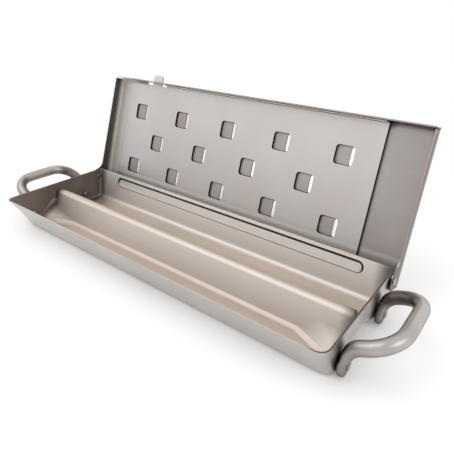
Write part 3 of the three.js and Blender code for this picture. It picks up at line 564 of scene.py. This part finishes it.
# The two handles: each a steel casting with a round bar that flattens into two lugs, blasted
# and tumbled smooth, then riveted to the tray's end walls.
HANDLE_STEEL = (0.525, 0.50, 0.472)
HANDLE_STEEL_DARK = (0.34, 0.315, 0.295)
HANDLE_UNDER_SHADE = (0.13, 0.115, 0.105)
HANDLE_SHADE_BROWN = (0.085, 0.062, 0.056)
HANDLE_DEEP_SHADE = (0.05, 0.044, 0.04)
HANDLE_MIDDLE_Y = -0.0257
HANDLE_SKIN_LINES = (700.0, 260.0, 700.0)
HANDLE_STREAK_LINES = (14.0, 330.0, 330.0)
HANDLE_CLOUDS_PER_METRE = 38.0
HANDLE_CLOUD_OFFSET = (0.3, 0.1, 0.7)
HANDLE_SHELTER_REACH = 0.022
HANDLE_SHELTER_RAGGEDNESS = 0.25
HANDLE_ROUNDING = 0.0006
HANDLE_RELIEF = 0.00005
HANDLE_LIT_FACING = (-0.75, 0.25)
INNER_SIDE_FACING = (-0.25, 0.35)
ARM_FROM_MIDDLE_Y = (0.018, 0.027)
ARM_Z = (0.018, 0.027)
INNER_ARM_SHADE_SHARES = (1.25, 0.45)
INNER_ARM_SHADE_LIMIT = 0.95
NEAR_WALL_X = (0.188, 0.226)
GRAZING_BLEND = 0.5
GRAZING_FACING = (0.55, 0.95)
HANDLE_CLOUD_SHARE = 0.5
HANDLE_SHADED_SHARE = 0.6
HANDLE_SHELTER_SHARE = 0.8
HANDLE_SPECK_SHARE = 0.25
NEAR_WALL_SHARE = 0.45
GRAZING_SHARE = 0.8
HANDLE_EDGE_SHARE = 0.4
HANDLE_ROUGHNESS = (0.28, 0.42)


def handle_finish():
    finish, tree, place, normal = new_finish("handle_steel")
    clouds = use_group(
        tree,
        cloudy_patches,
        place=place,
        clouds_per_metre=HANDLE_CLOUDS_PER_METRE,
        offset=HANDLE_CLOUD_OFFSET,
    )
    skin = use_group(tree, rolled_grain, place=place, lines=HANDLE_SKIN_LINES)
    streaks = use_group(tree, rolled_grain, place=place, lines=HANDLE_STREAK_LINES)["Grain"]
    shelter_shade = use_group(
        tree,
        sheltered_shade,
        place=place,
        reach=HANDLE_SHELTER_REACH,
        raggedness=HANDLE_SHELTER_RAGGEDNESS,
    )["Shade"]
    edge = use_group(tree, bare_edge, rounding=HANDLE_ROUNDING)
    where = axes(tree, place)
    facing = axes(tree, normal)

    colour = painted(
        tree, HANDLE_STEEL, HANDLE_STEEL_DARK, clouds["Clouds"], HANDLE_CLOUD_SHARE
    )
    # Painted shade: the faces turned downwards are painted darker.
    shaded = rest_of(tree, soft_step(tree, facing["Z"], *HANDLE_LIT_FACING))
    colour = painted(tree, colour, HANDLE_UNDER_SHADE, shaded, HANDLE_SHADED_SHARE)
    # Painted shade, streaked, on the arms' inner sides.
    beyond_middle = maths(tree, "SUBTRACT", where["Y"], HANDLE_MIDDLE_Y)
    outward = maths(tree, "MULTIPLY", maths(tree, "SIGN", beyond_middle), facing["Y"])
    inner_side = soft_step(tree, maths(tree, "MULTIPLY", outward, -1.0), *INNER_SIDE_FACING)
    on_arms = soft_step(tree, maths(tree, "ABSOLUTE", beyond_middle), *ARM_FROM_MIDDLE_Y)
    on_arms = times(tree, on_arms, soft_step(tree, where["Z"], *ARM_Z))
    inner_arm_shade = times(tree, inner_side, on_arms, between(tree, streaks, *INNER_ARM_SHADE_SHARES))
    colour = painted(tree, colour, HANDLE_SHADE_BROWN, maths(tree, "MINIMUM", inner_arm_shade, INNER_ARM_SHADE_LIMIT))
    # Painted shade in sheltered places.
    colour = painted(tree, colour, HANDLE_DEEP_SHADE, shelter_shade, HANDLE_SHELTER_SHARE)
    colour = painted(tree, colour, HANDLE_STEEL_DARK, clouds["Specks"], HANDLE_SPECK_SHARE)
    # Painted shade near the tray's end walls.
    clear_of_wall = soft_step(tree, maths(tree, "ABSOLUTE", where["X"]), *NEAR_WALL_X)
    colour = painted(tree, colour, HANDLE_SHADE_BROWN, rest_of(tree, clear_of_wall), NEAR_WALL_SHARE)
    # Painted dark reflection at grazing angles, as dark outlines.
    turned_away = put(tree, "ShaderNodeLayerWeight")
    turned_away.inputs["Blend"].default_value = GRAZING_BLEND
    rim = soft_step(tree, turned_away.outputs["Facing"], *GRAZING_FACING)
    colour = painted(tree, colour, HANDLE_DEEP_SHADE, rim, GRAZING_SHARE)
    colour = painted(tree, colour, BARE_EDGE, edge["Edge"], HANDLE_EDGE_SHARE)
    rough = between(tree, skin["Grain"], *HANDLE_ROUGHNESS)
    dress_shader(tree, colour, rough, skin["Height"], HANDLE_RELIEF, edge["Normal"])
    return finish


handle_steel = handle_finish()
for end in ("left", "right"):
    handle = dressed("handle_" + end, "handle_bar_" + end, levels=1)
    fit(handle, ["handle_" + end], "tray", handle_steel)


# The rivets: six small turned steel pins, closed over on both sides. Four hold the handles'
# lugs to the end walls, and two carry the lid's ears and let it turn. One tree turns the pin
# and sets it on every seat, facing outwards. Their heads inside the tray, and their sheltered
# places, are painted dark as painted shade.
RIVET_STEEL = (0.42, 0.41, 0.40)
RIVET_STEEL_DARK = (0.30, 0.29, 0.28)
RIVET_SHADE = (0.09, 0.08, 0.07)
RIVET_CLOUDS_PER_METRE = 180.0
RIVET_SHELTER_REACH = 0.004
RIVET_SHELTER_RAGGEDNESS = 0.2
RIVET_OUTSIDE_X = (0.188, 0.190)
RIVET_CLOUD_SHARE = 0.6
RIVET_SHELTER_SHARE = 0.8
RIVET_INSIDE_SHARE = 0.7
RIVET_ROUGHNESS = (0.25, 0.42)
RIVET_RELIEF = 0.00004
PIN_SIZES = {
    "handle_rivets": {
        "Inner radius": 0.0039, "Inner height": 0.0020, "Shank radius": 0.0020,
        "Outer radius": 0.0031, "Outer height": 0.0007,
    },
    "hinge_rivets": {
        "Inner radius": 0.0029, "Inner height": 0.0013, "Shank radius": 0.0018,
        "Outer radius": 0.0037, "Outer height": 0.0017,
    },
}
PIN_LENGTHS = (
    "Inner radius", "Inner height", "Shank radius", "Grip", "Outer radius", "Outer height",
)
PIN_TURNS = 40
DOME_STEPS = 8


def rivet_finish():
    finish, tree, place, _ = new_finish("fastener_steel")
    clouds = use_group(
        tree, cloudy_patches, place=place, clouds_per_metre=RIVET_CLOUDS_PER_METRE
    )
    shelter_shade = use_group(
        tree,
        sheltered_shade,
        place=place,
        reach=RIVET_SHELTER_REACH,
        raggedness=RIVET_SHELTER_RAGGEDNESS,
    )["Shade"]
    colour = painted(
        tree, RIVET_STEEL, RIVET_STEEL_DARK, clouds["Clouds"], RIVET_CLOUD_SHARE
    )
    # Painted shade in sheltered places.
    colour = painted(tree, colour, RIVET_SHADE, shelter_shade, RIVET_SHELTER_SHARE)
    # Painted shade on the heads inside the tray.
    from_middle = maths(tree, "ABSOLUTE", axes(tree, place)["X"])
    inside = rest_of(tree, soft_step(tree, from_middle, *RIVET_OUTSIDE_X))
    colour = painted(tree, colour, RIVET_SHADE, inside, RIVET_INSIDE_SHARE)
    rough = between(tree, clouds["Clouds"], *RIVET_ROUGHNESS)
    surface = put(tree, "ShaderNodeNewGeometry").outputs["Normal"]
    dress_shader(tree, colour, rough, clouds["Specks"], RIVET_RELIEF, surface)
    return finish


def either(tree, choice, first, second):
    """The second value where the choice is one, else the first."""
    kept = times(tree, first, rest_of(tree, choice))
    return maths(tree, "ADD", kept, times(tree, second, choice))


def rivet_tree():
    """Turns a pin with a dome at each end, its inner seat at nought, and sets it on each point."""
    tree = bpy.data.node_groups.new("turned_rivets", "GeometryNodeTree")
    sockets = [("Seats", "Geometry")]
    sockets += [(label, "Float") for label in PIN_LENGTHS]
    sockets += [("Turns", "Int"), ("Dome steps", "Int"), ("Finish", "Material")]
    for label, kind in sockets:
        tree.interface.new_socket(label, in_out="INPUT", socket_type="NodeSocket" + kind)
    tree.interface.new_socket("Rivets", in_out="OUTPUT", socket_type="NodeSocketGeometry")
    given = put(tree, "NodeGroupInput").outputs

    # The grid's rows run from one dome's middle over the shank to the other's, and its
    # columns run once round the pin. Each dome has a row more than its steps, the shank two.
    rows = maths(tree, "ADD", times(tree, given["Dome steps"], 2.0), 4.0)
    grid = put(tree, "GeometryNodeMeshGrid")
    tree.links.new(maths(tree, "ADD", given["Turns"], 1.0), grid.inputs["Vertices X"])
    tree.links.new(rows, grid.inputs["Vertices Y"])
    index = put(tree, "GeometryNodeInputIndex").outputs[0]
    row = maths(tree, "MODULO", index, rows)
    middle_of_index = maths(tree, "ADD", index, 0.5)
    column = maths(tree, "FLOOR", maths(tree, "DIVIDE", middle_of_index, rows))
    last_row = maths(tree, "SUBTRACT", rows, 1.0)
    from_pole = maths(tree, "MINIMUM", row, maths(tree, "SUBTRACT", last_row, row))
    inner_rows = maths(tree, "ADD", given["Dome steps"], 1.5)
    outer = maths(tree, "GREATER_THAN", row, inner_rows)
    dome_rows = maths(tree, "ADD", given["Dome steps"], 0.5)
    shank = maths(tree, "GREATER_THAN", from_pole, dome_rows)

    share = maths(tree, "MINIMUM", maths(tree, "DIVIDE", from_pole, given["Dome steps"]), 1.0)
    slope = times(tree, share, math.pi / 2.0)
    foot = either(tree, outer, given["Inner radius"], given["Outer radius"])
    dome = times(tree, foot, maths(tree, "SINE", slope))
    radius = either(tree, shank, dome, given["Shank radius"])
    height = either(tree, outer, given["Inner height"], given["Outer height"])
    side = maths(tree, "SUBTRACT", times(tree, outer, 2.0), 1.0)
    beyond_seat = times(tree, height, side, maths(tree, "COSINE", slope))
    along = maths(tree, "ADD", times(tree, outer, given["Grip"]), beyond_seat)
    turn = times(tree, maths(tree, "DIVIDE", column, given["Turns"]), math.tau)
    spot = put(tree, "ShaderNodeCombineXYZ")
    tree.links.new(along, spot.inputs["X"])
    tree.links.new(times(tree, radius, maths(tree, "COSINE", turn)), spot.inputs["Y"])
    tree.links.new(times(tree, radius, maths(tree, "SINE", turn)), spot.inputs["Z"])

    def carry(kind, socket, source, **links):
        """A geometry node that takes on the form made so far, and its output."""
        node = put(tree, kind)
        tree.links.new(source, node.inputs[socket])
        for label, given_source in links.items():
            feed(tree, node.inputs[label.capitalize()], given_source)
        return node.outputs[0]

    turned = carry(
        "GeometryNodeSetPosition", "Geometry", grid.outputs["Mesh"], position=spot.outputs[0]
    )
    closed = carry("GeometryNodeMergeByDistance", "Geometry", turned, distance=SAME_PLACE)
    seat_x = axes(tree, put(tree, "GeometryNodeInputPosition").outputs[0])["X"]
    on_left = maths(tree, "LESS_THAN", seat_x, 0.0)
    outwards = put(tree, "ShaderNodeCombineXYZ")
    tree.links.new(times(tree, on_left, math.pi), outwards.inputs["Z"])
    each = carry(
        "GeometryNodeInstanceOnPoints",
        "Points",
        given["Seats"],
        instance=closed,
        rotation=outwards.outputs[0],
    )
    real = carry("GeometryNodeRealizeInstances", "Geometry", each)
    finished = carry(
        "GeometryNodeSetMaterial", "Geometry", real, material=given["Finish"]
    )
    tree.links.new(finished, put(tree, "NodeGroupOutput").inputs["Rivets"])
    return tree


fastener_steel = rivet_finish()
turned_rivets = rivet_tree()
for name, pin in PIN_SIZES.items():
    nodes = sorted(node for node in frame["nodes"] if node.startswith(name[:-1]))
    seats = []
    for node in nodes:
        low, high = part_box(node)
        side = math.copysign(1.0, low.x + high.x)
        inner_end = min(abs(low.x), abs(high.x))
        middle = (low + high) / 2.0
        seats.append((side * (inner_end + pin["Inner height"]), middle.y, middle.z))
    seat_points = bpy.data.meshes.new(name)
    seat_points.from_pydata(seats, [], [])
    piece = new_object(name, seat_points)
    rivets = piece.modifiers.new("turned_rivets", "NODES")
    rivets.node_group = turned_rivets
    grip = high.x - low.x - pin["Inner height"] - pin["Outer height"]
    values = {
        **pin, "Grip": grip, "Turns": PIN_TURNS, "Dome steps": DOME_STEPS, "Finish": fastener_steel,
    }
    for socket in turned_rivets.interface.items_tree:
        if socket.name in values:
            rivets[socket.identifier] = values[socket.name]
    settled(piece)
    piece.data.shade_smooth()
    piece.data.set_sharp_from_angle(angle=SMOOTH_UP_TO)
    fit(piece, nodes, "tray", fastener_steel)


# The lid: one bent sheet with fourteen punched holes, short flanges all round and two ears
# that hang on the hinge rivets. It has the satin of rolled stainless sheet. Its punched edges,
# the gap beside the damper and its sheltered places are painted dark as painted shade, its end
# flanges carry a painted dark reflection, and painted light brightens its inner face left of
# the damper and near its foot.
LID_LEAN = math.radians(16.2)
LID_PLATE_OVER_HINGE = 0.0207
LID_SHEET = 0.0013
LID_STEEL = (0.42, 0.40, 0.38)
LID_STEEL_WARM = (0.38, 0.335, 0.32)
LID_SHADE = (0.10, 0.078, 0.065)
LID_PAINTED_LIGHT = (0.80, 0.77, 0.73)
LID_END_DARK = (0.075, 0.068, 0.06)
LID_FOOT_LIGHT = (0.80, 0.78, 0.76)
LID_GRAIN_DARK = (0.18, 0.17, 0.16)
CUT_DARK = (0.025, 0.020, 0.017)
LID_GRAIN_LINES = (8.0, 380.0, 380.0)
LID_CLOUDS_PER_METRE = 11.0
LID_CLOUD_OFFSET = (1.3, 0.4, 0.2)
LID_SHELTER_REACH = 0.010
GAP_REACH = 0.008
GAP_RAGGEDNESS = 0.05
GAP_TOWARDS = (-1.1, 0.0, 0.0)
SQUARE_FACING = (0.6, 0.9)
CUT_FACING = (0.3, 0.7)
CUT_HALF_SHEETS = (0.5, 0.6)
LIT_STRIP_X = (-0.170, -0.160)
END_BRIGHT_LEVEL = (LID_PLATE_OVER_HINGE - 0.0070, LID_PLATE_OVER_HINGE - 0.0005)
LID_LOW_Z = (0.042, 0.10)
FOOT_Z = (0.0335, 0.0385)
GAP_START_X = (-0.182, -0.178)
NOTCH_X = (-0.142, -0.138)
NOTCH_Z = (0.1415, 0.1435)
LID_SHELTER_SHARE = 0.5
END_DARK_SHARE = 0.9
END_BRIGHT_SHARE = 0.8
LID_LOW_SHARE = 0.12
LID_FOOT_SHARE = 0.95
GAP_GAIN = 3.4
LID_GRAIN_SHARE = 0.14
LID_EDGE_SHARE = 0.3
CUT_SHARE = 0.95
LID_ROUGHNESS = (0.28, 0.44)
LIT_STRIP_DULL = 0.25

lid_outward = Vector((0.0, math.cos(LID_LEAN), -math.sin(LID_LEAN)))
lid_hinge = next(joint for joint in frame["joints"] if joint["name"] == "lid_hinge")


def across_lid(tree, vector):
    """The part of a vector that points out through the open lid's plate."""
    return vector_maths(tree, "DOT_PRODUCT", vector, lid_outward)["Value"]


def over_hinge(tree, place):
    """How far a place lies from the hinge's axis towards the open lid's outer face, in metres."""
    axis_level = Vector(lid_hinge["pos_m"]).dot(lid_outward)
    return maths(tree, "SUBTRACT", across_lid(tree, place), axis_level)


def cut_faces(tree, place, normal, inner, sheet):
    """The punched and sheared faces of a plate of the open lid, by their place in its sheet."""
    off_middle = maths(tree, "SUBTRACT", over_hinge(tree, place), inner + sheet / 2.0)
    near, past = (sheet * half for half in CUT_HALF_SHEETS)
    within = rest_of(tree, soft_step(tree, maths(tree, "ABSOLUTE", off_middle), near, past))
    flat = soft_step(tree, maths(tree, "ABSOLUTE", across_lid(tree, normal)), *CUT_FACING)
    return times(tree, within, rest_of(tree, flat))


def lid_finish():
    finish, tree, place, normal = new_finish("lid_steel")
    grain = use_group(tree, rolled_grain, place=place, lines=LID_GRAIN_LINES)
    clouds = use_group(
        tree,
        cloudy_patches,
        place=place,
        clouds_per_metre=LID_CLOUDS_PER_METRE,
        offset=LID_CLOUD_OFFSET,
    )["Clouds"]
    edge = use_group(tree, bare_edge, rounding=SHEET_ROUNDING)
    shelter_shade = use_group(tree, sheltered_shade, place=place, reach=LID_SHELTER_REACH)["Shade"]
    gap = use_group(
        tree,
        sheltered_shade,
        place=place,
        reach=GAP_REACH,
        raggedness=GAP_RAGGEDNESS,
        towards=GAP_TOWARDS,
    )["Shade"]
    where = axes(tree, place)
    facing = axes(tree, normal)

    colour = painted(tree, LID_STEEL, LID_STEEL_WARM, clouds)
    # Painted shade in sheltered places.
    colour = painted(tree, colour, LID_SHADE, shelter_shade, LID_SHELTER_SHARE)
    forward = maths(tree, "MULTIPLY", facing["Y"], -1.0)
    inner_face = soft_step(tree, forward, *SQUARE_FACING)
    # Painted light: the inner face left of the damper is painted lighter, and is also rougher.
    left_of_damper = rest_of(tree, soft_step(tree, where["X"], *LIT_STRIP_X))
    lit_strip = times(tree, left_of_damper, inner_face)
    colour = painted(tree, colour, LID_PAINTED_LIGHT, lit_strip)
    # Painted dark reflection on the end flanges, with painted light where they meet the plate.
    end_flange = soft_step(tree, facing["X"], *SQUARE_FACING)
    near_plate = soft_step(tree, over_hinge(tree, place), *END_BRIGHT_LEVEL)
    colour = painted(tree, colour, LID_END_DARK, end_flange, END_DARK_SHARE)
    colour = painted(tree, colour, LID_PAINTED_LIGHT, end_flange, near_plate, END_BRIGHT_SHARE)
    # Painted shade on the inner face, darker towards the bottom.
    low = rest_of(tree, soft_step(tree, where["Z"], *LID_LOW_Z))
    colour = painted(tree, colour, LID_SHADE, low, inner_face, LID_LOW_SHARE)
    # Painted light on the inner face near its foot, at the rim's height.
    foot = rest_of(tree, soft_step(tree, where["Z"], *FOOT_Z))
    colour = painted(tree, colour, LID_FOOT_LIGHT, foot, inner_face, LID_FOOT_SHARE)

    # Painted shadow: the gap beside the damper is painted black, except at the lid's end and at the
    # notch.
    clear_of_end = soft_step(tree, where["X"], *GAP_START_X)
    at_notch = rest_of(tree, soft_step(tree, where["X"], *NOTCH_X))
    at_notch = times(tree, at_notch, soft_step(tree, where["Z"], *NOTCH_Z))
    clear = times(tree, clear_of_end, rest_of(tree, at_notch))
    dark_gap = times(tree, gap, inner_face, clear)
    dark_gap = maths(tree, "MULTIPLY", dark_gap, GAP_GAIN, clamp=True)
    colour = painted(tree, colour, CUT_DARK, dark_gap)

    lines = between(tree, grain["Grain"], 0.0, LID_GRAIN_SHARE)
    colour = painted(tree, colour, LID_GRAIN_DARK, lines)
    colour = painted(tree, colour, BARE_EDGE, edge["Edge"], LID_EDGE_SHARE)
    # Painted shade on the punched and sheared faces.
    cut = cut_faces(tree, place, normal, LID_PLATE_OVER_HINGE, LID_SHEET)
    colour = painted(tree, colour, CUT_DARK, cut, CUT_SHARE)
    satin = between(tree, grain["Grain"], *LID_ROUGHNESS)
    rough = maths(tree, "ADD", satin, times(tree, lit_strip, LIT_STRIP_DULL))
    dress_shader(tree, colour, rough, grain["Height"], SHEET_RELIEF, edge["Normal"])
    return finish


fit(dressed("lid", "lid_sheet"), ["lid"], "lid", lid_finish())


# The damper: a thinner sheet with the same fourteen holes that slides under the lid, held by
# its two lips. Its thumb tab shows through the notch in the lid's front flange.
DAMPER_SHEET = 0.0012
DAMPER_CLEARANCE = 0.0003
DAMPER_STEEL = (0.60, 0.595, 0.59)
DAMPER_STEEL_WARM = (0.585, 0.535, 0.51)
DAMPER_LOW_SHADE = (0.20, 0.17, 0.15)
DAMPER_FOOT_LIGHT = (0.96, 0.93, 0.91)
DAMPER_TAB = (0.93, 0.91, 0.89)
DAMPER_GRAIN_DARK = (0.25, 0.24, 0.23)
DAMPER_GRAIN_LINES = (7.0, 420.0, 420.0)
DAMPER_CLOUDS_PER_METRE = 9.0
DAMPER_CLOUD_OFFSET = (0.6, 2.1, 0.9)
DAMPER_SHELTER_REACH = 0.004
DAMPER_LOW_Z = (0.04, 0.12)
TAB_Z = (0.1475, 0.1500)
DAMPER_LOW_SHARE = 0.20
DAMPER_FOOT_SHARE = 0.8
TAB_SHARE = 0.25
DAMPER_SHELTER_SHARE = 0.8
DAMPER_GRAIN_SHARE = 0.06
DAMPER_EDGE_SHARE = 0.3
DAMPER_ROUGHNESS = (0.30, 0.44)


def damper_finish():
    finish, tree, place, normal = new_finish("damper_steel")
    grain = use_group(tree, rolled_grain, place=place, lines=DAMPER_GRAIN_LINES)
    clouds = use_group(
        tree,
        cloudy_patches,
        place=place,
        clouds_per_metre=DAMPER_CLOUDS_PER_METRE,
        offset=DAMPER_CLOUD_OFFSET,
    )["Clouds"]
    edge = use_group(tree, bare_edge, rounding=SHEET_ROUNDING)
    shelter_shade = use_group(tree, sheltered_shade, place=place, reach=DAMPER_SHELTER_REACH)["Shade"]
    height = axes(tree, place)["Z"]

    colour = painted(tree, DAMPER_STEEL, DAMPER_STEEL_WARM, clouds)
    # Painted shade, darker towards the bottom.
    low = rest_of(tree, soft_step(tree, height, *DAMPER_LOW_Z))
    colour = painted(tree, colour, DAMPER_LOW_SHADE, low, DAMPER_LOW_SHARE)
    # Painted light near the foot, at the rim's height.
    foot = rest_of(tree, soft_step(tree, height, *FOOT_Z))
    colour = painted(tree, colour, DAMPER_FOOT_LIGHT, foot, DAMPER_FOOT_SHARE)
    colour = painted(tree, colour, DAMPER_TAB, soft_step(tree, height, *TAB_Z), TAB_SHARE)
    # Painted shade in sheltered places.
    colour = painted(tree, colour, LID_SHADE, shelter_shade, DAMPER_SHELTER_SHARE)
    lines = between(tree, grain["Grain"], 0.0, DAMPER_GRAIN_SHARE)
    colour = painted(tree, colour, DAMPER_GRAIN_DARK, lines)
    colour = painted(tree, colour, BARE_EDGE, edge["Edge"], DAMPER_EDGE_SHARE)
    # Painted shade on the punched and sheared faces.
    inner = LID_PLATE_OVER_HINGE - DAMPER_CLEARANCE - DAMPER_SHEET
    cut = cut_faces(tree, place, normal, inner, DAMPER_SHEET)
    colour = painted(tree, colour, CUT_DARK, cut, CUT_SHARE)
    rough = between(tree, grain["Grain"], *DAMPER_ROUGHNESS)
    dress_shader(tree, colour, rough, grain["Height"], SHEET_RELIEF, edge["Normal"])
    return finish


fit(dressed("damper", "damper_sheet"), ["damper"], "damper", damper_finish())
